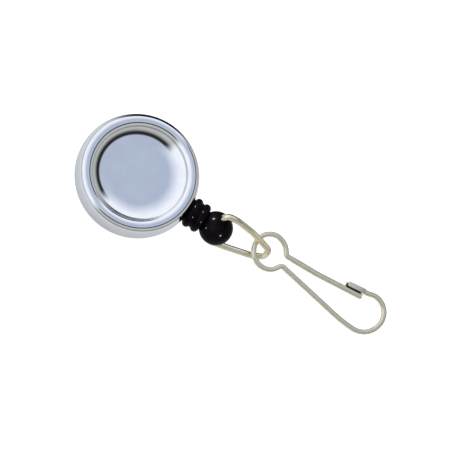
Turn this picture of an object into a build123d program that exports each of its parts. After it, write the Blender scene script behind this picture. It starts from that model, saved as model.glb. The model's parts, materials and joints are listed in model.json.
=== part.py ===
from build123d import *
import os
from math import acos, asin, atan2, cos, degrees, pi, radians, sin, sqrt

# A round, chrome-plated retractable reel with a belt clip, a cord that pulls out through a ribbed
# nozzle, a stop ball, a wire bail and a wire snap hook. +X is the way the cord leaves, +Z is the
# way the recessed front faces, and the reel lies on its belt clip at z = 0. Millimetres, degrees.

# Case: two pressed shells, with a rolled rim round a recessed front
case_r = 16.0                 # outer radius
case_half = 4.6               # half of the thickness across the rolled rims
sheet = 0.5                   # sheet thickness of both shells
roll_w = 2.3                  # from the crest of the roll out to the side
crest_r = 1.8                 # the roll's own radius at its crest
recess_edge_r = case_r - 4.0  # sharp inner edge of the front roll
recess_edge_drop = 0.9        # from the crest down to that edge
recess_floor_r = recess_edge_r - 4.5   # flat floor of the recess
recess_depth = 2.2            # from the crest down to the floor
lip_in_r = case_r - 3.1       # back edge of the front shell, rolled in over the back cover
back_cover_r = case_r - 1.8
back_cover_bevel = 0.45

# Belt clip: spring steel strip, bent over at the end away from the cord
clip_gap = 4.9                # inside the bend
clip_t = 0.8
clip_w = 10.0
clip_corner_r = 1.5
clip_bend_x = -9.5            # where the strip starts to bend
clip_base_x = 9.0             # free end of the riveted leaf
clip_flat_x = 6.5             # end of the tongue's flat
clip_tip_x = 10.5             # where the rising tip turns out again
clip_tip_rise = 2.9
clip_lip_x = 12.4
clip_lip_drop = 0.8
clip_form_r = 1.5             # bends of the tongue
rivet_x = 6.5                 # the two small rivets, one each side of the axle
rivet_r = 0.75
rivet_head_r = 1.35
rivet_head_t = 0.35

# Axle and washers
post_r = 1.5
post_shank_r = 1.2            # through the back cover and the clip
post_slot = 0.4               # slot that holds the spring's inner end
post_head_r = 2.4
post_head_t = 0.5
washer_r = 3.4
washer_t = 0.4
running = 0.05                # gap at faces and bores that turn

# Spool: a cup for the spring, with the cord wound outside it
flange_r = case_r - 4.4
flange_t = 0.5
cup_in_r = flange_r - 4.2
cup_wall = 0.6
winding_r = flange_r - 0.8
anchor_r = 0.6                # knot on the cord's inner end

# Power spring: flat spiral of steel strip
spring_t = 0.15
spring_turns = 7
spring_in_r = 2.0
spring_gap = 0.25             # from the cup's wall, floor and cover
spring_tab = 0.5              # outer end, through the cup's wall
spring_notch = 1.0            # width of the slot in the cup's wall

# Cord
cord_r = 0.4
lead_corner_x = case_r - 3.1  # where the cord turns from the spool towards the nozzle
lead_bend_r = 2.6

# Nozzle: moulded bush with two fat ribs, held by a ring inside the case
neck_r = 2.8                  # through the case's wall
neck_gap = 0.03
base_r = 3.2                  # collar that sits on the case's side
base_x = case_r - 1.6
rib_1_x = case_r + 0.95
rib_1_r = 4.1
rib_2_x = rib_1_x + 2.4
rib_2_r = 4.0
rib_half = 1.1                # half of a rib's width, and the radius of its edge
valley_r = 3.45
nozzle_bore_r = 0.8
spigot_r = 2.2
ring_r = 3.5
ring_t = 0.7
ring_x = case_r - 2.5         # inner face of the retaining ring
seat_gap = 0.15               # between the ball and its seat in the nozzle
seat_depth = 0.9

# Stop ball, with the cord's end knot inside it
ball_r = 4.4
ball_x = rib_2_x + rib_half - seat_depth + seat_gap + ball_r
knot_r = 1.2
knot_len = 1.7
knot_x = -2.2                 # from the ball's centre
knot_gap = 0.15
cord_bore_r = 0.7
cross_tilt = 26.8             # cross bore, leaning from +Z towards +Y

# Bail: wire loop whose tips turn into the ball's cross bore; u runs out from the ball, v across
bail_wire_r = 0.85
bail_bore_gap = 0.06
bail_swing = 14.0             # out of the +X direction, about the cross bore
bail_tip_v = 1.5              # end of each tip, from the ball's centre
bail_shoulder_v = ball_r + bail_wire_r + 0.75  # upper corner outside the ball
bail_shoulder_r = 1.6
bail_low_v = ball_r + bail_wire_r + 0.35       # lower corner
bail_low_r = 1.2
bail_upper = ((ball_r - 1.0, 5.95), (ball_r + 4.4, 3.95))   # corners of the upper leg, then of the lower
bail_lower = ((ball_r + 8.0, -4.35), (ball_r + 0.8, -5.25))
bail_leg_r = (8.0, 12.0, 4.0, 12.0)
bail_end_u = ball_r + 10.8    # centre line of the end bend
bail_end_v = (0.2, -2.9)
bail_end_r = 2.0

# Snap hook: flat wire bent in one plane; s runs from the eye to the end bend, t to the gate's side
wire_w = 1.3                  # across, in the hook's plane
wire_d = 1.3                  # through the plane
wire_round = 0.4
eye_from_bail = (0.45, 0.11, -0.59)   # from the middle of the bail's end to the eye's centre
eye_r = 4.55
hook_reach = 36.6             # from the eye's centre to the end bend's outer edge
hook_tip_z = 0.9              # height of that edge's middle, just off what the reel lies on
neck_bend_r = 1.2
long_leg_dir = -5.8
long_leg_end = (24.0, -3.05)
bow_r = 38.0                  # slight bow where the long leg runs into the end bend
bow_turn = 9.3
end_bend_r = 6.25
end_bend_turn = 84.0
tight_bend_r = 4.6            # the rest of the end bend
tight_bend_turn = 115.0
return_bend_r = 7.0
return_turn = -11.5
return_run = 0.85
catch_len = 5.1
catch_web = 0.45
catch_wide = 1.3              # upper flange with the web
catch_low_wide = 2.2          # lower flange, which reaches under the gate
catch_deep = 2.5
gate_dir = 6.2
gate_mid = (14.0, 2.8)
gate_tip = (27.6, 5.1)
gate_bow_r = 30.0
gate_split_s = eye_r + 1.75   # where the gate starts to flex
gate_w = 1.4
gate_open_gap = 0.15          # between the lower flange and the gate

# ---- worked out from the sizes above
clip_out = clip_gap + 2 * clip_t
back_out_z = clip_out                          # outer face of the back cover
back_in_z = back_out_z + sheet
mid_z = back_out_z - sheet + case_half         # the cord's height, half way up the case
front_z = mid_z + case_half                    # crest of the front roll
lip_z = mid_z - case_half                      # back face of the rolled-in lip
floor_z = front_z - recess_depth
floor_in_z = floor_z - sheet
clip_low_z = back_out_z - clip_t               # under the riveted leaf
roll_x = case_r - roll_w
side_r = (roll_w**2 + case_half**2 - 2 * case_half * crest_r) / (2 * (roll_w - crest_r))
side_x = case_r - side_r
side_angle = degrees(atan2(case_half - crest_r, roll_x - side_x))
front_roll_r = (recess_edge_drop**2 + (roll_x - recess_edge_r)**2) / (2 * recess_edge_drop)
front_roll_angle = degrees(asin((roll_x - recess_edge_r) / front_roll_r))
spool_low_z = back_in_z + washer_t + running
winding_low_z = spool_low_z + flange_t
winding_h = floor_in_z - back_in_z - 2 * washer_t - 2 * flange_t - 3 * running
winding_high_z = winding_low_z + winding_h
cover_low_z = winding_high_z + running
cover_high_z = cover_low_z + flange_t
drum_r = cup_in_r + cup_wall
hub_bore_r = post_r + running
ball_centre = Vector(ball_x, 0, mid_z)
cross_axis = Vector(0, sin(radians(cross_tilt)), cos(radians(cross_tilt)))
cross_side = Vector(0, cos(radians(cross_tilt)), -sin(radians(cross_tilt)))
cord_height = Plane.XY.offset(mid_z)


def case_outline(inner_x):
    """Outer edges of the case's section, from inner_x on the front to inner_x on the back."""
    floor_end = (recess_floor_r, floor_z)
    edge = (recess_edge_r, front_z - recess_edge_drop)
    Line((inner_x, floor_z), floor_end)
    TangentArc(floor_end, edge, tangent=(1, 0))
    CenterArc((roll_x, front_z - front_roll_r), front_roll_r, 90, front_roll_angle)
    CenterArc((roll_x, front_z - crest_r), crest_r, side_angle, 90 - side_angle)
    CenterArc((side_x, mid_z), side_r, -side_angle, 2 * side_angle)
    CenterArc((roll_x, lip_z + crest_r), crest_r, -90, 90 - side_angle)
    Line((roll_x, lip_z), (inner_x, lip_z))
    Line((inner_x, lip_z), (inner_x, floor_z))


# ---- case
with BuildPart() as front_cover:
    with BuildSketch(Plane.XZ):
        with BuildLine():
            case_outline(-2 * sheet)
        make_face()
        offset(amount=-sheet, mode=Mode.SUBTRACT)
        Rectangle(4 * sheet, 4 * case_r, align=(Align.MAX, Align.CENTER), mode=Mode.SUBTRACT)
        with Locations((0, lip_z - sheet)):
            Rectangle(lip_in_r, 3 * sheet, align=(Align.MIN, Align.MIN), mode=Mode.SUBTRACT)
    revolve(axis=Axis.Z)
    with BuildSketch(Plane.YZ.offset(ring_x)):
        with Locations((0, mid_z)):
            Circle(neck_r + neck_gap)
    extrude(amount=case_r, mode=Mode.SUBTRACT)

with BuildPart() as back_cover:
    with BuildSketch(Plane.XY.offset(back_out_z)):
        Circle(back_cover_r)
    extrude(amount=sheet)
    chamfer(back_cover.faces().sort_by(Axis.Z)[0].edges(), length=back_cover_bevel)
    with BuildSketch(Plane.XY.offset(back_out_z)):
        Circle(post_shank_r)
        with Locations((-rivet_x, 0), (rivet_x, 0)):
            Circle(rivet_r)
    extrude(amount=sheet, mode=Mode.SUBTRACT)

# ---- belt clip and what fastens it
with BuildPart() as belt_clip:
    with BuildSketch(Plane.XZ):
        with BuildLine():
            low = clip_low_z - clip_gap
            centre = (clip_bend_x, clip_low_z - clip_gap / 2)
            Line((clip_base_x, clip_low_z), (clip_base_x, back_out_z))
            Line((clip_base_x, back_out_z), (clip_bend_x, back_out_z))
            CenterArc(centre, clip_gap / 2 + clip_t, 90, 180)
            Line((clip_bend_x, 0), (clip_bend_x, low))
            CenterArc(centre, clip_gap / 2, 90, 180)
            Line((clip_bend_x, clip_low_z), (clip_base_x, clip_low_z))
        make_face()
    extrude(amount=clip_w / 2, both=True)
    fillet(belt_clip.edges().filter_by(Axis.Z).group_by(Axis.X)[-1], radius=clip_corner_r)
    with BuildSketch(Plane.XY.offset(clip_low_z)):
        Circle(post_shank_r)
        with Locations((-rivet_x, 0), (rivet_x, 0)):
            Circle(rivet_r)
    extrude(amount=clip_t, mode=Mode.SUBTRACT)

with BuildPart() as clip_tongue:
    with BuildSketch(Plane.XZ):
        with BuildLine():
            tongue_line = FilletPolyline(
                (clip_bend_x, 0),
                (clip_flat_x, 0),
                (clip_tip_x, clip_tip_rise),
                (clip_lip_x, clip_tip_rise - clip_lip_drop),
                radius=clip_form_r,
            )
            offset(tongue_line, amount=clip_t, side=Side.LEFT)
        make_face()
    extrude(amount=clip_w / 2, both=True)

with BuildPart() as clip_rivets:
    with BuildSketch(Plane.XY.offset(clip_low_z)):
        with Locations((-rivet_x, 0), (rivet_x, 0)):
            Circle(rivet_r)
    extrude(amount=clip_t + sheet)
    with BuildSketch(Plane.XY.offset(back_in_z), Plane.XY.offset(clip_low_z - rivet_head_t)):
        with Locations((-rivet_x, 0), (rivet_x, 0)):
            Circle(rivet_head_r)
    extrude(amount=rivet_head_t)

with BuildPart() as axle_post:
    with BuildSketch(Plane.XY.offset(clip_low_z - post_head_t)):
        Circle(post_head_r)
    extrude(amount=post_head_t)
    fillet(axle_post.edges().sort_by(Axis.Z)[0], radius=post_head_t / 2)
    with BuildSketch(Plane.XY.offset(clip_low_z)):
        Circle(post_shank_r)
    extrude(amount=clip_t + sheet)
    with BuildSketch(Plane.XY.offset(back_in_z)):
        Circle(post_r)
    extrude(amount=floor_in_z - running - back_in_z)
    with BuildSketch(Plane.XY.offset(winding_low_z)):
        Rectangle(3 * post_r, post_slot)
    extrude(amount=floor_in_z - winding_low_z, mode=Mode.SUBTRACT)

with BuildPart() as back_washer:
    with BuildSketch(Plane.XY.offset(back_in_z)):
        Circle(washer_r)
        Circle(hub_bore_r, mode=Mode.SUBTRACT)
    extrude(amount=washer_t)

with BuildPart() as front_washer:
    with BuildSketch(Plane.XY.offset(cover_high_z + running)):
        Circle(washer_r)
        Circle(hub_bore_r, mode=Mode.SUBTRACT)
    extrude(amount=floor_in_z - cover_high_z - running)

# ---- spool
with BuildPart() as spool:
    with BuildSketch(Plane.XY.offset(spool_low_z)):
        Circle(flange_r)
        Circle(hub_bore_r, mode=Mode.SUBTRACT)
    extrude(amount=flange_t)
    with BuildSketch(Plane.XY.offset(winding_low_z)):
        Circle(drum_r)
        Circle(cup_in_r, mode=Mode.SUBTRACT)
        with Locations((drum_r, 0)):
            Rectangle(2 * drum_r - 2 * cup_in_r + spring_gap, spring_notch, mode=Mode.SUBTRACT)
    extrude(amount=cover_low_z - winding_low_z)

with BuildPart() as spool_cover:
    with BuildSketch(Plane.XY.offset(cover_low_z)):
        Circle(flange_r)
        Circle(hub_bore_r, mode=Mode.SUBTRACT)
    extrude(amount=flange_t)

with BuildPart() as power_spring:
    half_turns = 2 * spring_turns
    step = (cup_in_r - spring_gap - spring_in_r) / (half_turns + 1)
    with BuildSketch(Plane.XY.offset(winding_low_z + spring_gap)):
        with BuildLine():
            for side in (-spring_t / 2, spring_t / 2):
                for turn in range(half_turns):
                    arc_centre = (step * (turn % 2), 0)
                    CenterArc(arc_centre, spring_in_r + turn * step + side, 180 * (turn % 2), 180)
            outer_x = spring_in_r + (half_turns - 1) * step + step
            Line((spring_in_r - spring_t / 2, 0), (spring_in_r + spring_t / 2, 0))
            Line((outer_x - spring_t / 2, 0), (outer_x + spring_t / 2, 0))
        make_face()
        with Locations((spring_in_r / 2 - spring_t, 0)):
            Rectangle(spring_in_r + 3 * spring_t, spring_t)
        with Locations((outer_x - spring_t / 2, -spring_t / 2)):
            Rectangle(cup_in_r - outer_x + spring_tab, spring_t, align=(Align.MIN, Align.CENTER))
    extrude(amount=cover_low_z - winding_low_z - 2 * spring_gap)

with BuildPart() as cord_anchor_knot:
    with Locations((-(drum_r + anchor_r), 0, (winding_low_z + winding_high_z) / 2)):
        Sphere(anchor_r)

with BuildPart() as cord_winding:
    with BuildSketch(Plane.XY.offset(winding_low_z)):
        Circle(winding_r)
        Circle(drum_r, mode=Mode.SUBTRACT)
    extrude(amount=winding_h)
    with Locations((-(drum_r + anchor_r), 0, (winding_low_z + winding_high_z) / 2)):
        Sphere(anchor_r + running, mode=Mode.SUBTRACT)

# ---- nozzle
with BuildPart() as case_envelope:
    with BuildSketch(Plane.XZ):
        with BuildLine():
            case_outline(0)
        make_face()
        offset(amount=neck_gap)
        Rectangle(4 * sheet, 4 * case_r, align=(Align.MAX, Align.CENTER), mode=Mode.SUBTRACT)
    revolve(axis=Axis.Z)

with BuildPart() as cord_nozzle:
    with BuildSketch(Plane.XZ):
        with Locations((base_x, mid_z)):
            Rectangle(rib_1_x - base_x, base_r, align=Align.MIN)
        with Locations((rib_1_x, mid_z)):
            Rectangle(rib_2_x - rib_1_x, valley_r, align=Align.MIN)
        for rib_x, rib_r in ((rib_1_x, rib_1_r), (rib_2_x, rib_2_r)):
            with Locations((rib_x - rib_half, mid_z)):
                Rectangle(2 * rib_half, rib_r - rib_half, align=Align.MIN)
            with Locations((rib_x, mid_z + rib_r - rib_half)):
                Circle(rib_half)
    revolve(axis=Axis((0, 0, mid_z), (1, 0, 0)))
    add(case_envelope.part, mode=Mode.SUBTRACT)
    with BuildSketch(Plane.YZ.offset(ring_x + ring_t)):
        with Locations((0, mid_z)):
            Circle(neck_r)
    extrude(amount=rib_1_x - ring_x - ring_t)
    with BuildSketch(Plane.YZ.offset(ring_x)):
        with Locations((0, mid_z)):
            Circle(spigot_r)
    extrude(amount=ring_t)
    with BuildSketch(Plane.YZ.offset(ring_x)):
        with Locations((0, mid_z)):
            Circle(nozzle_bore_r)
    extrude(amount=rib_2_x + rib_half - ring_x, mode=Mode.SUBTRACT)
    chamfer(
        cord_nozzle.edges().filter_by(GeomType.CIRCLE).group_by(Axis.X)[0].sort_by(SortBy.RADIUS)[0],
        length=nozzle_bore_r / 2,
    )
    with Locations(ball_centre):
        Sphere(ball_r + seat_gap, mode=Mode.SUBTRACT)

with BuildPart() as nozzle_retaining_ring:
    with BuildSketch(Plane.YZ.offset(ring_x)):
        with Locations((0, mid_z)):
            Circle(ring_r)
            Circle(spigot_r, mode=Mode.SUBTRACT)
    extrude(amount=ring_t)

# ---- cord between the spool and the ball
knot_start_x = ball_x + knot_x - knot_len / 2
touch_r = winding_r + cord_r + running
touch_angle = acos(touch_r / lead_corner_x)
with BuildPart() as cord_lead:
    with BuildLine(cord_height):
        lead_path = FilletPolyline(
            (touch_r * cos(touch_angle), touch_r * sin(touch_angle)),
            (lead_corner_x, 0),
            (knot_start_x, 0),
            radius=lead_bend_r,
        )
    with BuildSketch(Plane(origin=lead_path @ 0, z_dir=lead_path % 0)):
        Circle(cord_r)
    sweep(path=lead_path)

with BuildPart() as cord_end_knot:
    with BuildSketch(Plane.YZ.offset(knot_start_x)):
        with Locations((0, mid_z)):
            Circle(knot_r)
    extrude(amount=knot_len)
    fillet(cord_end_knot.edges(), radius=knot_r / 2)

with BuildPart() as stop_ball:
    with Locations(ball_centre):
        Sphere(ball_r)
    with BuildSketch(Plane.YZ.offset(knot_start_x - knot_gap)):
        with Locations((0, mid_z)):
            Circle(knot_r + knot_gap)
    extrude(amount=knot_len + 2 * knot_gap, mode=Mode.SUBTRACT)
    with BuildSketch(Plane.YZ.offset(ball_x - ball_r)):
        with Locations((0, mid_z)):
            Circle(cord_bore_r)
    extrude(amount=knot_start_x - ball_x + ball_r, mode=Mode.SUBTRACT)
    with BuildSketch(Plane(origin=ball_centre, x_dir=(1, 0, 0), z_dir=cross_axis)):
        Circle(bail_wire_r + bail_bore_gap)
    extrude(amount=ball_r, both=True, mode=Mode.SUBTRACT)

# ---- bail
bail_out = Vector(1, 0, 0) * cos(radians(bail_swing)) + cross_side * sin(radians(bail_swing))
bail_plane = Plane(origin=ball_centre, x_dir=bail_out, z_dir=bail_out.cross(cross_axis))
with BuildPart() as bail_link:
    with BuildLine(bail_plane):
        bail_path = FilletPolyline(
            (0, bail_tip_v),
            (0, bail_shoulder_v),
            *bail_upper,
            (bail_end_u, bail_end_v[0]),
            (bail_end_u, bail_end_v[1]),
            *bail_lower,
            (0, -bail_low_v),
            (0, -bail_tip_v),
            radius=[bail_shoulder_r, *bail_leg_r[:2], bail_end_r, bail_end_r, *bail_leg_r[2:], bail_low_r],
        )
    with BuildSketch(Plane(origin=bail_path @ 0, z_dir=bail_path % 0)):
        Circle(bail_wire_r)
    sweep(path=bail_path)

# ---- snap hook
eye_centre = ball_centre + bail_out * bail_end_u + Vector(*eye_from_bail)
slope = asin((eye_centre.Z - hook_tip_z) / hook_reach)
hook_plane = Plane(
    origin=eye_centre, x_dir=(cos(slope), 0, -sin(slope)), z_dir=(sin(slope), 0, cos(slope))
)


def neck(point, direction, side):
    """Where the arc between the eye and a leg touches each; side is 1 at the gate, -1 opposite."""
    along = Vector(cos(radians(direction)), sin(radians(direction)))
    across = Vector(-along.Y, along.X) * side
    reach = across.dot(Vector(*point)) + neck_bend_r
    centre = across * reach + along * sqrt((eye_r + neck_bend_r) ** 2 - reach**2)
    return centre * (eye_r / (eye_r + neck_bend_r)), centre - across * neck_bend_r, along


gate_eye, gate_leg, gate_along = neck(gate_mid, gate_dir, 1)
long_eye, long_leg, long_along = neck(long_leg_end, long_leg_dir, -1)
gate_start = gate_leg + gate_along * ((gate_split_s - gate_leg.X) / gate_along.X)
gate_angle = degrees(atan2(gate_eye.Y, gate_eye.X))
long_angle = degrees(atan2(-long_eye.Y, long_eye.X))

with BuildLine() as hook_line:
    Line(gate_start, gate_leg)
    TangentArc(gate_leg, gate_eye, tangent=gate_along * -1)
    CenterArc((0, 0), eye_r, gate_angle, 360 - gate_angle - long_angle)
    TangentArc(long_leg, long_eye, tangent=long_along * -1)
    Line(long_leg, long_leg_end)
    bow = JernArc(long_leg_end, long_along, bow_r, bow_turn)
    end_bend = JernArc(bow @ 1, bow % 1, end_bend_r, end_bend_turn)
    tight_bend = JernArc(end_bend @ 1, end_bend % 1, tight_bend_r, tight_bend_turn)
    return_bend = JernArc(tight_bend @ 1, tight_bend % 1, return_bend_r, return_turn)
    return_line = Line(return_bend @ 1, (return_bend @ 1) + (return_bend % 1) * return_run)
    Line(return_line @ 1, (return_line @ 1) + (return_line % 1) * catch_web)

catch_way = return_line % 1
catch_plane = Plane(
    origin=hook_plane.from_local_coords(return_line @ 1),
    x_dir=hook_plane.from_local_coords(Vector(catch_way.Y, -catch_way.X)) - hook_plane.origin,
    z_dir=hook_plane.from_local_coords(catch_way) - hook_plane.origin,
)
hook_path = hook_line.wire().moved(hook_plane.location)
with BuildPart() as snap_hook:
    start_way = hook_path % 0
    with BuildSketch(Plane(origin=hook_path @ 0, x_dir=hook_plane.z_dir.cross(start_way), z_dir=start_way)):
        RectangleRounded(wire_w, wire_d, wire_round)
    sweep(path=hook_path)
    with BuildSketch(catch_plane):
        flange = (catch_deep - wire_d) / 2 - gate_open_gap
        with Locations((catch_wide / 2, 0)):
            Rectangle(catch_web, catch_deep, align=(Align.MAX, Align.CENTER))
        with Locations((catch_wide / 2, -catch_deep / 2)):
            Rectangle(catch_wide, flange, align=(Align.MAX, Align.MIN))
        with Locations((catch_wide / 2, catch_deep / 2)):
            Rectangle(catch_low_wide, flange, align=(Align.MAX, Align.MAX))
    extrude(amount=catch_len)

with BuildLine() as gate_line:
    FilletPolyline(gate_start, gate_mid, gate_tip, radius=gate_bow_r)

gate_path = gate_line.wire().moved(hook_plane.location)
with BuildPart() as hook_gate:
    gate_way = gate_path % 0
    with BuildSketch(Plane(origin=gate_path @ 0, x_dir=hook_plane.z_dir.cross(gate_way), z_dir=gate_way)):
        RectangleRounded(gate_w, wire_d, wire_round)
    sweep(path=gate_path)

# ---- files
pieces = {
    "front_cover": front_cover,
    "back_cover": back_cover,
    "belt_clip": belt_clip,
    "clip_tongue": clip_tongue,
    "clip_rivets": clip_rivets,
    "axle_post": axle_post,
    "back_washer": back_washer,
    "front_washer": front_washer,
    "spool": spool,
    "spool_cover": spool_cover,
    "power_spring": power_spring,
    "cord_winding": cord_winding,
    "cord_anchor_knot": cord_anchor_knot,
    "cord_lead": cord_lead,
    "cord_end_knot": cord_end_knot,
    "cord_nozzle": cord_nozzle,
    "nozzle_retaining_ring": nozzle_retaining_ring,
    "stop_ball": stop_ball,
    "bail_link": bail_link,
    "snap_hook": snap_hook,
    "hook_gate": hook_gate,
}
os.makedirs("parts", exist_ok=True)
for name, piece in pieces.items():
    piece.part.label = name
    export_step(piece.part, f"parts/{name}.step")

# Joint places, in millimetres in the same frame
gate_hinge = hook_plane.from_local_coords(gate_start - Vector(-gate_along.Y, gate_along.X) * (gate_w / 2))
lead_length = lead_path.length
print("ball centre", tuple(ball_centre), "cross axis", tuple(cross_axis))
print("eye centre", tuple(hook_plane.origin), "hook normal", tuple(hook_plane.z_dir))
print("gate hinge", tuple(gate_hinge), "clip hinge", (clip_bend_x, 0, 0))
print("lead length", lead_length, "bend radius", lead_bend_r, "volume ratio",
      cord_lead.part.volume / (lead_length * pi * cord_r**2))
print("middle radius of the winding", sqrt((drum_r**2 + winding_r**2) / 2))
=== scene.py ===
import json
from math import acos, atan2, cos, degrees, pi, radians, sin, sqrt

import bmesh
import bpy
from mathutils import Matrix, Vector


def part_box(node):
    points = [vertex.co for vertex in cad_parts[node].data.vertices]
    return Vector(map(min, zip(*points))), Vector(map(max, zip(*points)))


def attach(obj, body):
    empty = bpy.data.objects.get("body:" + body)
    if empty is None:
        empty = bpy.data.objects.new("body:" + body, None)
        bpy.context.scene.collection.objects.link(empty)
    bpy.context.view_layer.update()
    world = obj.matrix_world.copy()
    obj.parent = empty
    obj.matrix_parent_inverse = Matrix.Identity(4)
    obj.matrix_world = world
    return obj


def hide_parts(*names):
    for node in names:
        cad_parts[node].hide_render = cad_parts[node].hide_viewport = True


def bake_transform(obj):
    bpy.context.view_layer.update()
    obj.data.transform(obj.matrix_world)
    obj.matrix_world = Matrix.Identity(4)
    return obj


mm = 0.001

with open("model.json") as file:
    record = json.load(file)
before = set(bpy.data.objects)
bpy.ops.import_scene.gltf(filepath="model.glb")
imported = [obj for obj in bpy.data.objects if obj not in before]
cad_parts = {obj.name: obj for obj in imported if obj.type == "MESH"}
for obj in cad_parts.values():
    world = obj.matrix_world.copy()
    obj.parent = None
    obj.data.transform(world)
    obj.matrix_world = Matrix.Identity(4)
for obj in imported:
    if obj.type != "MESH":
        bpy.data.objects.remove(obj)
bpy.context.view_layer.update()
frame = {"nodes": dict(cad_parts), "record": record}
joints = {joint["name"]: joint for joint in frame["record"]["behaviour"]["joints"]}
ballCentre = Vector(joints["ball_swivel"]["pos_m"])
crossAxis = Vector(joints["bail_swing"]["axis"]).normalized()
eyeCentre = Vector(joints["hook_swing"]["pos_m"])
hookNormal = Vector(joints["hook_swing"]["axis"]).normalized()
clipHinge = Vector(joints["clip_flex"]["pos_m"])
midZ = ballCentre.z                      # the cord's height, half way up the case
print("frame loaded", len(frame["nodes"]), "nodes")


# small helpers for meshes

# Points on an arc in a flat section, angles in degrees
def arcPoints(centre, radius, start, end, count):
    points = []
    for i in range(count + 1):
        angle = radians(start + (end - start) * i / count)
        points.append((centre[0] + radius * cos(angle), centre[1] + radius * sin(angle)))
    return points


# One list of section points, with doubled points left out
def joinRuns(*runs):
    points = []
    for run in runs:
        for point in run:
            if not points or (Vector(point) - Vector(points[-1])).length > 1e-4:
                points.append(point)
    return points


# A new object from a bmesh, smooth but for its sharp edges, at the origin
def finishMesh(name, bm, material, sharpAngle=35):
    bmesh.ops.remove_doubles(bm, verts=bm.verts, dist=1e-7)
    bmesh.ops.recalc_face_normals(bm, faces=bm.faces)
    mesh = bpy.data.meshes.new(name)
    bm.to_mesh(mesh)
    bm.free()
    mesh.shade_smooth()
    mesh.set_sharp_from_angle(angle=radians(sharpAngle))
    piece = bpy.data.objects.new(name, mesh)
    bpy.context.collection.objects.link(piece)
    piece.data.materials.append(material)
    return piece


# Turns a section of (radius, height) in mm about axis through origin, as on a lathe
def turned(name, section, material, origin, axis, segments=192, closed=True, sharpAngle=35):
    axis = Vector(axis).normalized()
    side = axis.orthogonal().normalized()
    other = axis.cross(side)
    bm = bmesh.new()
    rings = []
    for radius, height in section:
        middle = origin + axis * height * mm
        if radius < 1e-6:
            rings.append([bm.verts.new(middle)])
            continue
        ring = []
        for i in range(segments):
            angle = 2 * pi * i / segments
            ring.append(bm.verts.new(middle + (side * cos(angle) + other * sin(angle)) * radius * mm))
        rings.append(ring)
    pairs = list(zip(rings, rings[1:]))
    if closed:
        pairs.append((rings[-1], rings[0]))
    for low, high in pairs:
        for i in range(segments):
            j = (i + 1) % segments
            if len(low) == 1 and len(high) == 1:
                break
            if len(low) == 1:
                bm.faces.new((low[0], high[j], high[i]))
            elif len(high) == 1:
                bm.faces.new((low[i], low[j], high[0]))
            else:
                bm.faces.new((low[i], low[j], high[j], high[i]))
    return finishMesh(name, bm, material, sharpAngle)


# Flat path of a bent wire: moves are (length,) for a run, or (radius, turn) for a bend
def wirePath(start, heading, moves, step=0.25):
    x, y = start
    points = [(x, y)]
    for move in moves:
        if len(move) == 1:
            count = max(1, round(move[0] / (4 * step)))
            for _ in range(count):
                x += cos(radians(heading)) * move[0] / count
                y += sin(radians(heading)) * move[0] / count
                points.append((x, y))
            continue
        radius, turn = move
        side = 1 if turn > 0 else -1
        length = radius * radians(abs(turn))
        count = max(4, round(length / step), round(abs(turn) / 5))
        cx = x - side * radius * sin(radians(heading))
        cy = y + side * radius * cos(radians(heading))
        for i in range(1, count + 1):
            angle = heading + turn * i / count
            x = cx + side * radius * sin(radians(angle))
            y = cy - side * radius * cos(radians(angle))
            points.append((x, y))
        heading += turn
    return points, heading


# Flat polyline with its inner corners rounded, by one radius or one for each corner
def filletedLine(points, radii, count=10):
    result = [points[0]]
    corners = list(zip(points, points[1:], points[2:]))
    if not isinstance(radii, (list, tuple)):
        radii = [radii] * len(corners)
    for (before, corner, after), radius in zip(corners, radii):
        a = (Vector(before) - Vector(corner)).normalized()
        b = (Vector(after) - Vector(corner)).normalized()
        half = acos(max(-1, min(1, a.dot(b)))) / 2
        cut = radius / (sin(half) / cos(half))
        start, end = Vector(corner) + a * cut, Vector(corner) + b * cut
        middle = Vector(corner) + (a + b).normalized() * (radius / sin(half))
        first = atan2(start.y - middle.y, start.x - middle.x)
        sweep = atan2(end.y - middle.y, end.x - middle.x) - first
        sweep = (sweep + pi) % (2 * pi) - pi
        for i in range(count + 1):
            angle = first + sweep * i / count
            result.append((middle.x + radius * cos(angle), middle.y + radius * sin(angle)))
    result.append(points[-1])
    return result


# wire along a path, with Geometry Nodes

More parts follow.
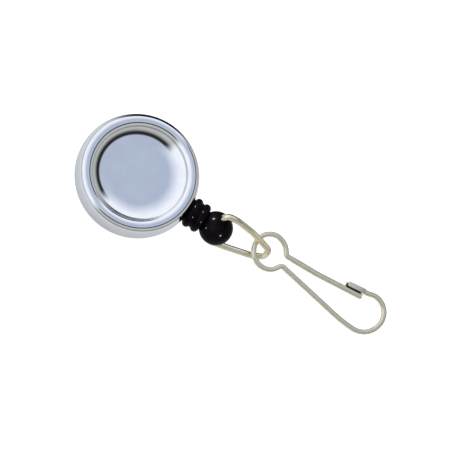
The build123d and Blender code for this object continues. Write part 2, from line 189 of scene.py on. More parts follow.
# Sweeps a rounded, flattened section along a curve; inputs are in metres
def wireTree():
    tree = bpy.data.node_groups.new("wireAlongPath", "GeometryNodeTree")
    face = tree.interface
    face.new_socket("Path", in_out="INPUT", socket_type="NodeSocketGeometry")
    face.new_socket("Width", in_out="INPUT", socket_type="NodeSocketFloat")
    face.new_socket("Depth", in_out="INPUT", socket_type="NodeSocketFloat")
    face.new_socket("Rounding", in_out="INPUT", socket_type="NodeSocketFloat")
    face.new_socket("Material", in_out="INPUT", socket_type="NodeSocketMaterial")
    face.new_socket("Wire", in_out="OUTPUT", socket_type="NodeSocketGeometry")
    nodes, links = tree.nodes, tree.links
    given = nodes.new("NodeGroupInput")
    result = nodes.new("NodeGroupOutput")
    section = nodes.new("GeometryNodeCurvePrimitiveQuadrilateral")
    rounded = nodes.new("GeometryNodeFilletCurve")
    rounded.mode = "POLY"
    rounded.inputs["Count"].default_value = 7
    normals = nodes.new("GeometryNodeSetCurveNormal")
    normals.mode = "Z_UP"
    swept = nodes.new("GeometryNodeCurveToMesh")
    swept.inputs["Fill Caps"].default_value = True
    smooth = nodes.new("GeometryNodeSetShadeSmooth")
    realized = nodes.new("GeometryNodeRealizeInstances")
    finished = nodes.new("GeometryNodeSetMaterial")
    links.new(given.outputs["Path"], normals.inputs["Curve"])
    links.new(normals.outputs["Curve"], swept.inputs["Curve"])
    links.new(given.outputs["Width"], section.inputs["Width"])
    links.new(given.outputs["Depth"], section.inputs["Height"])
    links.new(section.outputs["Curve"], rounded.inputs["Curve"])
    links.new(given.outputs["Rounding"], rounded.inputs["Radius"])
    links.new(rounded.outputs["Curve"], swept.inputs["Profile Curve"])
    links.new(swept.outputs["Mesh"], smooth.inputs["Geometry"])
    links.new(smooth.outputs["Geometry"], realized.inputs["Geometry"])
    links.new(realized.outputs["Geometry"], finished.inputs["Geometry"])
    links.new(given.outputs["Material"], finished.inputs["Material"])
    links.new(finished.outputs["Geometry"], result.inputs["Wire"])
    return tree


wireMaker = wireTree()


# A wire of that section, in mm, along flat points in mm, put in place by a matrix
def bentWire(name, points, width, depth, rounding, material, place):
    curve = bpy.data.curves.new(name + "Path", "CURVE")
    curve.dimensions = "3D"
    spline = curve.splines.new("POLY")
    spline.points.add(len(points) - 1)
    for knot, (x, y) in zip(spline.points, points):
        knot.co = (x * mm, y * mm, 0, 1)
    source = bpy.data.objects.new(name + "Path", curve)
    bpy.context.collection.objects.link(source)
    modifier = source.modifiers.new("wire", "NODES")
    modifier.node_group = wireMaker
    sockets = {item.name: item.identifier for item in wireMaker.interface.items_tree}
    modifier[sockets["Width"]] = width * mm
    modifier[sockets["Depth"]] = depth * mm
    modifier[sockets["Rounding"]] = rounding * mm
    modifier[sockets["Material"]] = material
    bpy.context.view_layer.update()
    evaluated = source.evaluated_get(bpy.context.evaluated_depsgraph_get())
    mesh = bpy.data.meshes.new_from_object(evaluated)
    mesh.name = name
    bpy.data.objects.remove(source)
    mesh.transform(place)
    bm = bmesh.new()
    bm.from_mesh(mesh)
    bmesh.ops.remove_doubles(bm, verts=bm.verts, dist=1e-7)
    bmesh.ops.recalc_face_normals(bm, faces=bm.faces)
    bm.to_mesh(mesh)
    bm.free()
    mesh.shade_smooth()
    mesh.set_sharp_from_angle(angle=radians(50))
    piece = bpy.data.objects.new(name, mesh)
    bpy.context.collection.objects.link(piece)
    if not mesh.materials:
        mesh.materials.append(material)
    return piece


# materials

def newMaterial(name):
    material = bpy.data.materials.new(name)
    material.use_nodes = True
    return material, material.node_tree.nodes, material.node_tree.links


# Noise in the piece's own metres, drawn out by stretch
def objectNoise(nodes, links, scale, detail=3.0, stretch=(1, 1, 1)):
    place = nodes.new("ShaderNodeTexCoord")
    mapping = nodes.new("ShaderNodeMapping")
    mapping.inputs["Scale"].default_value = stretch
    noise = nodes.new("ShaderNodeTexNoise")
    noise.inputs["Scale"].default_value = scale
    noise.inputs["Detail"].default_value = detail
    links.new(place.outputs["Object"], mapping.inputs["Vector"])
    links.new(mapping.outputs["Vector"], noise.inputs["Vector"])
    return noise.outputs["Fac"]


# Maps a 0..1 noise to the numbers from low to high
def blendRange(nodes, links, source, low, high):
    spread = nodes.new("ShaderNodeMapRange")
    spread.inputs["From Min"].default_value = 0.3
    spread.inputs["From Max"].default_value = 0.7
    spread.inputs["To Min"].default_value = low
    spread.inputs["To Max"].default_value = high
    links.new(source, spread.inputs["Value"])
    return spread.outputs["Result"]


def blendColour(nodes, links, source, dark, light):
    ramp = nodes.new("ShaderNodeValToRGB")
    ramp.color_ramp.elements[0].position = 0.3
    ramp.color_ramp.elements[0].color = (*dark, 1)
    ramp.color_ramp.elements[1].position = 0.7
    ramp.color_ramp.elements[1].color = (*light, 1)
    links.new(source, ramp.inputs["Fac"])
    return ramp.outputs["Color"]


def addBump(nodes, links, source, shader, strength, depth):
    bump = nodes.new("ShaderNodeBump")
    bump.inputs["Strength"].default_value = strength
    bump.inputs["Distance"].default_value = depth
    links.new(source, bump.inputs["Height"])
    links.new(bump.outputs["Normal"], shader.inputs["Normal"])


# Plated or drawn metal: rough is (least, most), grain the noise scale
def metal(name, dark, light, rough, grain, stretch, bumpStrength=0.0):
    material, nodes, links = newMaterial(name)
    shader = nodes["Principled BSDF"]
    shader.inputs["Metallic"].default_value = 1.0
    cloud = objectNoise(nodes, links, grain, 3.0, stretch)
    links.new(blendColour(nodes, links, cloud, dark, light), shader.inputs["Base Color"])
    links.new(blendRange(nodes, links, cloud, *rough), shader.inputs["Roughness"])
    if bumpStrength:
        addBump(nodes, links, objectNoise(nodes, links, grain * 4, 2.0, stretch), shader, bumpStrength, 2e-5)
    return material


def plastic(name, dark, light, rough, grain, coat, bumpStrength, gloss=0.5):
    material, nodes, links = newMaterial(name)
    shader = nodes["Principled BSDF"]
    shader.inputs["Specular IOR Level"].default_value = gloss
    shader.inputs["Coat Weight"].default_value = coat
    shader.inputs["Coat Roughness"].default_value = 0.05
    cloud = objectNoise(nodes, links, grain)
    links.new(blendColour(nodes, links, cloud, dark, light), shader.inputs["Base Color"])
    links.new(blendRange(nodes, links, cloud, *rough), shader.inputs["Roughness"])
    addBump(nodes, links, objectNoise(nodes, links, grain * 3), shader, bumpStrength, 2e-5)
    return material


# Fine crossed plaits along X
def braid(name, dark, light, pitch):
    material, nodes, links = newMaterial(name)
    shader = nodes["Principled BSDF"]
    shader.inputs["Sheen Weight"].default_value = 0.3
    heights = []
    for lean in (1, -1):
        place = nodes.new("ShaderNodeTexCoord")
        mapping = nodes.new("ShaderNodeMapping")
        mapping.inputs["Rotation"].default_value = (0, 0, radians(38) * lean)
        wave = nodes.new("ShaderNodeTexWave")
        wave.inputs["Scale"].default_value = 1 / pitch
        wave.inputs["Distortion"].default_value = 0.6
        links.new(place.outputs["Object"], mapping.inputs["Vector"])
        links.new(mapping.outputs["Vector"], wave.inputs["Vector"])
        heights.append(wave.outputs["Fac"])
    crossed = nodes.new("ShaderNodeMath")
    crossed.operation = "MULTIPLY"
    links.new(heights[0], crossed.inputs[0])
    links.new(heights[1], crossed.inputs[1])
    links.new(blendColour(nodes, links, crossed.outputs[0], dark, light), shader.inputs["Base Color"])
    links.new(blendRange(nodes, links, crossed.outputs[0], 0.75, 0.5), shader.inputs["Roughness"])
    addBump(nodes, links, crossed.outputs[0], shader, 0.5, 5e-5)
    return material


caseChrome = metal("caseChrome", (0.80, 0.81, 0.83), (0.86, 0.87, 0.89), (0.02, 0.045), 260, (1, 1, 1))
wireNickel = metal("wireNickel", (0.85, 0.77, 0.56), (0.97, 0.89, 0.67), (0.18, 0.30), 900, (1, 1, 1), 0.12)
clipSteel = metal("clipSteel", (0.58, 0.58, 0.57), (0.70, 0.70, 0.68), (0.16, 0.32), 700, (0.06, 1, 1), 0.15)
rivetSteel = metal("rivetSteel", (0.55, 0.55, 0.54), (0.66, 0.66, 0.64), (0.2, 0.35), 1500, (1, 1, 1), 0.2)
springSteel = metal("springSteel", (0.16, 0.18, 0.24), (0.30, 0.31, 0.35), (0.2, 0.35), 500, (1, 1, 1), 0.1)
mouldedBlack = plastic(
    "mouldedBlack", (0.0012, 0.0008, 0.0014), (0.003, 0.0022, 0.0034), (0.12, 0.18), 420, 0.0, 0.06, 0.03)
# near-black finish for the catch channel's inner faces: painted shade standing in for the shadow inside the
# recess, not the metal's own colour
catchPaintedShade = metal(
    "catchPaintedShade", (0.05, 0.045, 0.035), (0.10, 0.09, 0.075), (0.35, 0.5), 900, (1, 1, 1), 0.1)
nylonWhite = plastic("nylonWhite", (0.72, 0.70, 0.64), (0.82, 0.80, 0.75), (0.4, 0.55), 300, 0.0, 0.1)
cordBlack = braid("cordBlack", (0.006, 0.006, 0.007), (0.05, 0.05, 0.052), 0.35 * mm)
nodeFinishes = {
    "chrome_case": caseChrome,
    "clip_steel": clipSteel,
    "rivet_steel": rivetSteel,
    "white_nylon": nylonWhite,
    "spring_steel": springSteel,
    "black_cord": cordBlack,
    "black_plastic": mouldedBlack,
    "nickel_wire": wireNickel,
}
for part in frame["record"]["subparts"]:
    node = frame["nodes"][part["node"]]
    node.data.materials.clear()
    node.data.materials.append(nodeFinishes[part["material_slot"]])
print("materials made")


# case

case = {
    "radius": 16.0, "half": 4.6, "sheet": 0.5, "rollWidth": 2.3, "crest": 1.8,
    "edgeRadius": 12.0, "edgeDrop": 0.9, "floorRadius": 7.5, "depth": 2.2,
    "lip": 12.9,
}


# Case section from the recess floor's middle to the back lip, inset into the metal
def wallSection(inset):
    half = case["half"]
    rollX = case["radius"] - case["rollWidth"]
    crest = case["crest"]
    width = case["rollWidth"]
    sideR = (width**2 + half**2 - 2 * half * crest) / (2 * (width - crest))
    sideX = case["radius"] - sideR
    sideAngle = degrees(atan2(half - crest, rollX - sideX))
    inner = rollX - case["edgeRadius"]
    rollR = (case["edgeDrop"]**2 + inner**2) / (2 * case["edgeDrop"])
    rise = case["depth"] - case["edgeDrop"]
    run = case["edgeRadius"] - case["floorRadius"]
    coveR = (run**2 + rise**2) / (2 * rise)
    floorH = half - case["depth"]
    coveCentre = (case["floorRadius"], floorH + coveR)
    rollCentre = (rollX, half - rollR)
    # the two arcs meet where their inset circles cross
    r1, r2 = coveR + inset, rollR - inset
    dx, dy = rollCentre[0] - coveCentre[0], rollCentre[1] - coveCentre[1]
    gap = sqrt(dx**2 + dy**2)
    reach = (gap**2 + r1**2 - r2**2) / (2 * gap)
    lift = sqrt(r1**2 - reach**2)
    bestX = coveCentre[0] + dx * reach / gap
    bestY = coveCentre[1] + dy * reach / gap
    offX, offY = dy * lift / gap, dx * lift / gap
    crossings = [(bestX - offX, bestY + offY), (bestX + offX, bestY - offY)]
    meet = min(crossings, key=lambda p: abs(p[0] - case["edgeRadius"] - inset))
    coveEnd = degrees(atan2(meet[1] - coveCentre[1], meet[0] - coveCentre[0]))
    rollStart = degrees(atan2(meet[1] - rollCentre[1], meet[0] - rollCentre[0]))
    return joinRuns(
        [(r, floorH - inset) for r in (0, 2.5, 5, 7)],
        arcPoints(coveCentre, r1, -90, coveEnd, 28),
        arcPoints(rollCentre, r2, rollStart, 90, 28),
        arcPoints((rollX, half - crest), crest - inset, 90, sideAngle, 24),
        arcPoints((sideX, 0), sideR - inset, sideAngle, -sideAngle, 36),
        arcPoints((rollX, crest - half), crest - inset, -sideAngle, -90, 24),
        [(case["lip"], inset - half)],
    )


def makeCase():
    outer = wallSection(0)
    innerSide = wallSection(case["sheet"])
    middle = Vector((0, 0, midZ))
    shell = turned("frontShell", outer + innerSide[::-1], caseChrome, middle, (0, 0, 1), 256, False, 25)
    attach(shell, "case")
    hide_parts("front_cover")


# Back plate, a flat disc with a bevelled rim, seated inside the rolled-in lip
def makeBack():
    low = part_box("back_cover")[0].z
    plate = {"radius": 14.2, "bevel": 0.45, "sheet": 0.5, "bore": 1.2}
    section = [
        (plate["bore"], 0), (plate["radius"] - plate["bevel"], 0), (plate["radius"], plate["bevel"]),
        (plate["radius"], plate["sheet"]), (plate["bore"], plate["sheet"]),
    ]
    back = turned("backPlate", section, caseChrome, Vector((0, 0, low)), (0, 0, 1), 192, True)
    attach(back, "case")
    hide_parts("back_cover")


makeCase()
makeBack()
print("case made")


# nozzle

nozzle = {
    "neck": 2.8, "collar": 3.2, "collarX": 15.0, "rib1X": 16.95, "rib1R": 4.1, "rib2X": 19.35, "rib2R": 4.0,
    "ribHalf": 1.1, "bore": 0.8, "seatGap": 0.15, "innerX": 13.5, "spigot": 2.2, "ring": 0.7,
}


def makeNozzle():
    n = nozzle
    half = n["ribHalf"]
    ballR, ballX = 4.4 + n["seatGap"], ballCentre.x / mm
    endX = n["rib2X"] + half
    seatTop = sqrt(ballR**2 - (ballX - endX)**2)
    boreX = ballX - sqrt(ballR**2 - n["bore"]**2)
    seatStart = degrees(atan2(seatTop, endX - ballX))
    seatEnd = degrees(atan2(n["bore"], boreX - ballX))
    rib1 = arcPoints((n["rib1X"], n["rib1R"] - half), half, 165, 28, 26)
    rib2 = arcPoints((n["rib2X"], n["rib2R"] - half), half, 150, 0, 26)
    seat = arcPoints((ballX, 0), ballR, seatStart, seatEnd, 14)
    outline = joinRuns(
        [(n["innerX"], n["bore"] + 0.35), (n["innerX"], n["spigot"]), (n["innerX"] + n["ring"], n["spigot"])],
        [(n["innerX"] + n["ring"], n["neck"])],
        [(n["collarX"] - 0.05, n["neck"]), (n["collarX"], n["collar"] - 0.1)],
        [(n["collarX"] + 0.1, n["collar"]), (n["rib1X"] - half + 0.02, n["collar"])],
        rib1, rib2,
        [(endX, seatTop + 0.18)],
        seat,
        [(n["innerX"] + 0.35, n["bore"])],
    )
    section = [(radius, x) for x, radius in outline]
    bush = turned("ribbedNozzle", section, mouldedBlack, Vector((0, 0, midZ)), (1, 0, 0), 144, True, 40)
    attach(bush, "case")
    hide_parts("cord_nozzle")


makeNozzle()


# stop ball, turned about its cross bore

ball = {"radius": 4.4, "bore": 0.91, "soft": 0.22}


def makeBall():
    bore, radius, soft = ball["bore"], ball["radius"], ball["soft"]
    top = sqrt(radius**2 - (bore + soft)**2)
    start = degrees(atan2(top, bore + soft))
    section = joinRuns(
        arcPoints((0, 0), radius, -start, start, 96),
        [(bore + soft * 0.4, top + soft * 0.12), (bore, top - soft * 0.6)],
        [(bore, top * 0.5), (bore, 0), (bore, -top * 0.5)],
        [(bore, -top + soft * 0.6), (bore + soft * 0.4, -top - soft * 0.12)],
    )
    bead = turned("stopBall", section, mouldedBlack, ballCentre, crossAxis, 128, True, 60)
    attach(bead, "ball")
    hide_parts("stop_ball")


makeBall()
print("nozzle and ball made")


# cord, from inside the nozzle into the ball

cordSize = {"radius": 0.4, "startX": 14.2, "endX": 21.05, "rings": 260, "round": 20}


def makeCord():
    c = cordSize
    bm = bmesh.new()
    rings = []
    for i in range(c["rings"] + 1):
        x = c["startX"] + (c["endX"] - c["startX"]) * i / c["rings"]
        ring = []
        for k in range(c["round"]):
            angle = 2 * pi * k / c["round"]
            y, z = c["radius"] * cos(angle) * mm, c["radius"] * sin(angle) * mm
            ring.append(bm.verts.new((x * mm, y, midZ + z)))
        rings.append(ring)
    for low, high in zip(rings, rings[1:]):
        for k in range(c["round"]):
            j = (k + 1) % c["round"]
            bm.faces.new((low[k], low[j], high[j], high[k]))
    bm.faces.new(rings[0])
    bm.faces.new(rings[-1])
    line = finishMesh("pullCord", bm, cordBlack)
    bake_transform(line)
    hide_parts("cord_lead")


makeCord()


# bail, bent in the plane of the ball's cross bore

bail = {
    "swing": 14.0, "wire": 0.85,
    "corners": [(0, 1.5), (0, 6.0), (3.4, 5.95), (8.8, 3.95), (15.2, 0.2),
                (15.2, -2.9), (12.4, -4.35), (5.2, -5.25), (0, -5.6), (0, -1.5)],
    "radii": [1.6, 8.0, 12.0, 2.0, 2.0, 4.0, 12.0, 1.2],
}


def makeBail():
    b = bail
    points = filletedLine(b["corners"], b["radii"])
    side = crossAxis.cross(Vector((1, 0, 0)))
    out = Vector((cos(radians(b["swing"])), 0, 0)) + side * sin(radians(b["swing"]))
    normal = out.cross(crossAxis)
    place = Matrix((out, crossAxis, normal)).transposed().to_4x4()
    place.translation = ballCentre
    link = bentWire("bailLink", points, 2 * b["wire"], 2 * b["wire"], b["wire"] * 0.995, wireNickel, place)
    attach(link, "bail")
    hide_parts("bail_link")


makeBail()


# snap hook, bent flat; x runs from the eye to the end bend, y to the gate's side

hook = {
    "width": 1.3, "depth": 1.3, "rounding": 0.42, "eyeR": 4.55, "neckR": 1.2,
    "longDir": -5.8, "longEnd": (24.0, -3.05),
    "bow": (38.0, 9.3), "bend": (6.25, 84.0), "tightBend": (4.6, 115.0),
    "backBend": (7.0, -11.5), "backRun": 0.85, "gateDir": 6.2, "gateMid": (14.0, 2.8), "gateTip": (27.6, 5.1),
    "gateBow": 30.0, "splitX": 6.3, "gateWidth": 1.4,
    "catchLength": 5.1, "catchWeb": 0.45, "catchTop": 1.3,
    "catchLow": 2.2, "catchDepth": 2.5, "catchFlange": 0.45,
}
hookAlong = Vector((0, 1, 0)).cross(hookNormal)
hookPlace = Matrix((hookAlong, Vector((0, 1, 0)), hookNormal)).transposed().to_4x4()
hookPlace.translation = eyeCentre


# Where the neck's arc touches the eye and the leg, and the leg's direction
def neckTouch(point, direction, side):
    along = Vector((cos(radians(direction)), sin(radians(direction))))
    across = Vector((-along.y, along.x)) * side
    reach = across.dot(Vector(point)) + hook["neckR"]
    both = hook["eyeR"] + hook["neckR"]
    centre = across * reach + along * sqrt(both**2 - reach**2)
    return centre * (hook["eyeR"] / both), centre - across * hook["neckR"], along


def makeHook():
    h = hook
    gateEye, gateLeg, gateAlong = neckTouch(h["gateMid"], h["gateDir"], 1)
    longEye, longLeg, _ = neckTouch(h["longEnd"], h["longDir"], -1)
    gateStart = gateLeg + gateAlong * ((h["splitX"] - gateLeg.x) / gateAlong.x)
    gateAngle = degrees(atan2(gateEye.y, gateEye.x))
    longAngle = degrees(atan2(-longEye.y, longEye.x))
    moves = [
        ((gateStart - gateLeg).length,),
        (h["neckR"], gateAngle + 90 - (180 + h["gateDir"])),
        (h["eyeR"], 360 - gateAngle - longAngle),
        (h["neckR"], h["longDir"] - (90 - longAngle)),
        ((Vector(h["longEnd"]) - longLeg).length,),
        h["bow"], h["bend"], h["tightBend"], h["backBend"], (h["backRun"] + h["catchWeb"] * 2,),
    ]
    points, heading = wirePath(tuple(gateStart), 180 + h["gateDir"], moves)
    wire = bentWire("snapHook", points, h["width"], h["depth"], h["rounding"], wireNickel, hookPlace)
    catch = makeCatch(Vector(points[-1]), heading)
    bm = bmesh.new()
    bm.from_mesh(wire.data)
    bm.from_mesh(catch.data)
    bm.to_mesh(wire.data)
    bm.free()
    bpy.data.objects.remove(catch)
    # second slot: the painted shade material for the catch channel's inner faces
    wire.data.materials.append(catchPaintedShade)
    wire.data.shade_smooth()
    wire.data.set_sharp_from_angle(angle=radians(50))
    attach(wire, "hook")
    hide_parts("snap_hook")
    gateMid, gateTip = Vector(h["gateMid"]), Vector(h["gateTip"])
    first, second = gateMid - gateStart, gateTip - gateMid
    turn = degrees(atan2(second.y, second.x) - atan2(first.y, first.x))
    cut = h["gateBow"] * sin(radians(turn / 2)) / cos(radians(turn / 2))
    gateMoves = [(first.length - cut,), (h["gateBow"], turn), (second.length - cut,)]
    gatePoints, _ = wirePath(tuple(gateStart), degrees(atan2(first.y, first.x)), gateMoves)
    leg = bentWire("gateLeg", gatePoints, h["gateWidth"], h["depth"], h["rounding"], wireNickel, hookPlace)
    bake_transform(leg)
    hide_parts("hook_gate")


# U-shaped catch, open towards the gate, with its low flange the longer
def makeCatch(corner, heading):
    h = hook
    way = Vector((cos(radians(heading)), sin(radians(heading))))
    outward = Vector((way.y, -way.x))
    origin = corner - way * h["catchWeb"] * 2
    half, flange = h["catchDepth"] / 2, h["catchFlange"]
    outerX = h["catchTop"] / 2
    outline = [
        (outerX, -half), (outerX, half),
        (outerX - h["catchTop"], half), (outerX - h["catchTop"], half - flange),
        (outerX - h["catchWeb"], half - flange), (outerX - h["catchWeb"], flange - half),
        (outerX - h["catchLow"], flange - half), (outerX - h["catchLow"], -half),
    ]
    bm = bmesh.new()
    ends = []
    for distance in (0, h["catchLength"]):
        ring = []
        for across, lift in outline:
            flat = origin + way * distance + outward * across
            ring.append(bm.verts.new(hookPlace @ Vector((flat.x * mm, flat.y * mm, lift * mm))))
        ends.append(ring)
    count = len(outline)
    for i in range(count):
        j = (i + 1) % count
        side = bm.faces.new((ends[0][i], ends[0][j], ends[1][j], ends[1][i]))
        side.material_index = 1 if i in (3, 4, 5) else 0     # the channel's inner faces get painted shade, the recess's shadow drawn as dark colour
    bm.faces.new(ends[0])
    bm.faces.new(ends[1])
    bmesh.ops.recalc_face_normals(bm, faces=bm.faces)
    bmesh.ops.bevel(bm, geom=bm.edges[:], offset=0.16 * mm, segments=3, profile=0.6, affect="EDGES")
    return finishMesh("catchPart", bm, wireNickel, 40)


makeHook()
print("wire pieces made")


# belt clip

clip = {"gap": 4.9, "sheet": 0.8, "width": 10.0, "bendX": -9.5, "baseX": 9.0, "flatX": 6.5, "tipX": 10.5,
        "tipRise": 2.9, "lipX": 12.4, "lipDrop": 0.8, "formR": 1.5, "soft": 0.12}


# One strip of spring steel: riveted leaf, bend and tongue
def makeClip():
    c = clip
    top = c["gap"] + 1.5 * c["sheet"]
    centreline = joinRuns(
        [(c["baseX"], top), (6.0, top), (3.0, top), (0.0, top), (-3.0, top), (-6.0, top)],
        arcPoints((c["bendX"], top / 2 + c["sheet"] / 4), c["gap"] / 2 + c["sheet"] / 2, 90, 270, 32),
        filletedLine(
            [(c["bendX"], c["sheet"] / 2), (c["flatX"], c["sheet"] / 2),
             (c["tipX"], c["tipRise"] + c["sheet"] / 2),
             (c["lipX"], c["tipRise"] - c["lipDrop"] + c["sheet"] / 2)],
            c["formR"]),
    )
    points = [Vector(p) for p in centreline]
    total = len(points)
    bm = bmesh.new()
    rows = []
    half = c["width"] / 2
    for i, point in enumerate(points):
        ahead = points[min(i + 1, total - 1)] - points[max(i - 1, 0)]
        normal = Vector((-ahead.y, ahead.x)).normalized()
        ring = []
        soft = c["soft"]
        thick = c["sheet"] / 2
        profile = [
            (-half, -thick + soft), (-half, thick - soft), (-half + soft, thick), (half - soft, thick),
            (half, thick - soft), (half, -thick + soft), (half - soft, -thick), (-half + soft, -thick),
        ]
        for y, offset in profile:
            flat = point + normal * offset
            ring.append(bm.verts.new((flat.x * mm, y * mm, flat.y * mm)))
        rows.append(ring)
    size = len(rows[0])
    for low, high in zip(rows, rows[1:]):
        for k in range(size):
            j = (k + 1) % size
            bm.faces.new((low[k], low[j], high[j], high[k]))
    bm.faces.new(rows[0])
    bm.faces.new(rows[-1])
    strip = finishMesh("clipStrip", bm, clipSteel, 50)
    high = clipHinge + Vector((0, 0, (c["gap"] + c["sheet"]) * mm))
    low = clipHinge + Vector((0, 0, c["sheet"] * mm))
    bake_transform(strip)
    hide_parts("belt_clip", "clip_tongue")


makeClip()
print("clip made")


# floor, light and camera

stage = {"size": 1.6, "tone": (0.88, 0.88, 0.88), "glow": 0.8}


def makeStage():
    bm = bmesh.new()
    half = stage["size"] / 2
    corners = [bm.verts.new((x * half, y * half, 0)) for x, y in ((-1, -1), (1, -1), (1, 1), (-1, 1))]
    bm.faces.new(corners)
    mesh = bpy.data.meshes.new("floor")
    bm.to_mesh(mesh)
    bm.free()
    floor = bpy.data.objects.new("floor", mesh)
    bpy.context.collection.objects.link(floor)
    floor.location = (0, 0, -0.00002)
    floor.visible_glossy = False                 # the chrome shows the studio round it, not the table
    material, nodes, links = newMaterial("paleFloor")
    shader = nodes["Principled BSDF"]
    shader.inputs["Base Color"].default_value = (*stage["tone"], 1)
    shader.inputs["Roughness"].default_value = 0.7
    shader.inputs["Emission Color"].default_value = (1, 1, 1, 1)
    shader.inputs["Emission Strength"].default_value = stage["glow"]
    mesh.materials.append(material)


studio = {
    "overhead": (0.080, 0.279, 0.956), "whiteSide": (-0.943, 0.333, 0.0), "flagSide": (-0.174, 0.985, 0.0),
    "white": [
        (0, (0.50, 0.57, 0.72)), (5, (0.51, 0.58, 0.73)), (20, (0.70, 0.76, 0.90)), (42, (1.00, 1.03, 1.12)),
        (60, (1.05, 1.08, 1.16)),
        (78, (0.90, 0.94, 1.00)), (89, (0.45, 0.46, 0.48)), (94, (0.45, 0.46, 0.48)),
        (104, (0.82, 0.84, 0.88)),
        (180, (0.50, 0.52, 0.57)),
    ],
    "grey": [
        (0, (0.50, 0.57, 0.72)), (32, (0.52, 0.58, 0.72)), (36, (0.03, 0.03, 0.03)), (44, (0.03, 0.03, 0.03)),
        (52, (0.46, 0.47, 0.46)), (62, (0.62, 0.63, 0.62)), (82, (0.46, 0.46, 0.45)),
        (88, (0.22, 0.22, 0.22)), (96, (0.22, 0.22, 0.22)),
        (104, (0.74, 0.76, 0.78)), (180, (0.50, 0.51, 0.53)),
    ],
}


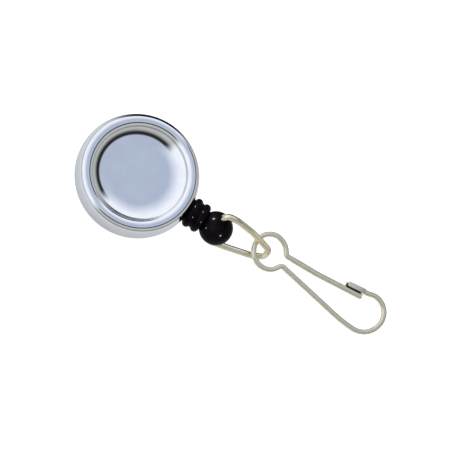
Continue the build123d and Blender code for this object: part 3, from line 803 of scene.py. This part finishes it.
# Studio surround: blue-grey overhead, a white and a grey wall, and a dark flag on one side
def makeWorld():
    world = bpy.data.worlds.new("studio")
    bpy.context.scene.world = world
    world.use_nodes = True
    nodes, links = world.node_tree.nodes, world.node_tree.links
    place = nodes.new("ShaderNodeTexCoord")

    def along(direction):
        dot = nodes.new("ShaderNodeVectorMath")
        dot.operation = "DOT_PRODUCT"
        dot.inputs[1].default_value = Vector(direction).normalized()
        links.new(place.outputs["Generated"], dot.inputs[0])
        return dot.outputs["Value"]

    def smooth(source, low, high):
        step = nodes.new("ShaderNodeMapRange")
        step.interpolation_type = "SMOOTHSTEP"
        step.inputs["From Min"].default_value = low
        step.inputs["From Max"].default_value = high
        links.new(source, step.inputs["Value"])
        return step.outputs["Result"]

    def arithmetic(operation, first, second=None):
        sumNode = nodes.new("ShaderNodeMath")
        sumNode.operation = operation
        links.new(first, sumNode.inputs[0])
        if second is not None:
            if isinstance(second, (int, float)):
                sumNode.inputs[1].default_value = second
            else:
                links.new(second, sumNode.inputs[1])
        return sumNode.outputs[0]

    def ramp(stops, source):
        band = nodes.new("ShaderNodeValToRGB")
        elements = band.color_ramp.elements
        elements[0].position, elements[0].color = stops[0][0] / 180, (*stops[0][1], 1)
        elements[1].position, elements[1].color = stops[-1][0] / 180, (*stops[-1][1], 1)
        for angle, colour in stops[1:-1]:
            elements.new(angle / 180).color = (*colour, 1)
        links.new(source, band.inputs["Fac"])
        return band.outputs["Color"]

    def mixed(mask, first, second):
        mix = nodes.new("ShaderNodeMix")
        mix.data_type = "RGBA"
        links.new(mask, mix.inputs[0])
        for socket, value in ((mix.inputs[6], first), (mix.inputs[7], second)):
            if isinstance(value, tuple):
                socket.default_value = value
            else:
                links.new(value, socket)
        return mix.outputs[2]

    angle = arithmetic("DIVIDE", arithmetic("ARCCOSINE", along(studio["overhead"])), pi)
    whiteMask = smooth(along(studio["whiteSide"]), -0.08, 0.14)
    greyWall = ramp(studio["grey"], angle)
    whiteWall = ramp(studio["white"], angle)
    walls = mixed(whiteMask, greyWall, whiteWall)
    height = along((0, 0, 1))
    level = nodes.new("ShaderNodeVectorMath")
    level.operation = "MULTIPLY"
    level.inputs[1].default_value = (1, 1, 0)
    links.new(place.outputs["Generated"], level.inputs[0])
    compass = nodes.new("ShaderNodeVectorMath")
    compass.operation = "NORMALIZE"
    links.new(level.outputs["Vector"], compass.inputs[0])
    facing = nodes.new("ShaderNodeVectorMath")
    facing.operation = "DOT_PRODUCT"
    facing.inputs[1].default_value = Vector(studio["flagSide"]).normalized()
    links.new(compass.outputs["Vector"], facing.inputs[0])
    flag = arithmetic("MULTIPLY", smooth(facing.outputs["Value"], 0.80, 0.98), smooth(height, 0.36, 0.26))
    flag = arithmetic("MULTIPLY", flag, smooth(height, -0.99, -0.70))
    around = mixed(flag, walls, (0.015, 0.015, 0.018, 1))
    ray = nodes.new("ShaderNodeLightPath")
    seen = mixed(ray.outputs["Is Camera Ray"], around, (1, 1, 1, 1))
    links.new(seen, nodes["Background"].inputs["Color"])
    nodes["Background"].inputs["Strength"].default_value = 1.0


def makeLight(name, place, aim, size, power, lit):
    light = bpy.data.lights.new(name, "AREA")
    light.shape = "RECTANGLE"
    light.size, light.size_y = size
    light.energy = power
    lamp = bpy.data.objects.new(name, light)
    bpy.context.collection.objects.link(lamp)
    lamp.location = place
    lamp.rotation_euler = (Vector(place) - Vector(aim)).to_track_quat("Z", "Y").to_euler()
    lamp.light_linking.receiver_collection = lit


view = {
    "from": (-0.0797, -0.2787, 0.9560), "up": (-0.550, 0.811, 0.190),
    "target": (0.0254, 0.0013, 0.0132), "distance": 0.62, "width": 0.1143,
}


def makeCamera():
    back = Vector(view["from"]).normalized()
    up = Vector(view["up"])
    up = (up - back * up.dot(back)).normalized()
    right = up.cross(back)
    matrix = Matrix((right, up, back)).transposed().to_4x4()
    matrix.translation = Vector(view["target"]) + back * view["distance"]
    data = bpy.data.cameras.new("camera")
    data.sensor_width = 36
    data.lens = 36 * view["distance"] / view["width"]
    camera = bpy.data.objects.new("camera", data)
    camera.matrix_world = matrix
    bpy.context.collection.objects.link(camera)
    bpy.context.scene.camera = camera


lampAim = {"point": (0.02, 0, 0.01), "distance": 0.6}
lamps = [                                         # direction from the reel, size in metres, watts
    ("upperLamp", (-0.70, 0.52, 0.49), 0.085, 8.0),
    ("sideLamp", (-0.83, -0.55, 0.10), 0.070, 5.0),
    ("lowerLamp", (0.75, -0.51, 0.43), 0.062, 5.0),
]
makeStage()
makeWorld()
blackPieces = bpy.data.collections.new("blackPieces")   # the lamps only put highlights on the black plastic
for name in ("ribbedNozzle", "stopBall"):
    blackPieces.objects.link(bpy.data.objects[name])
for name, direction, size, power in lamps:
    place = Vector(lampAim["point"]) + Vector(direction) * lampAim["distance"]
    makeLight(name, place, lampAim["point"], (size, size), power, blackPieces)
makeCamera()
bpy.context.scene.view_settings.view_transform = "Standard"
print("stage, light and camera made")
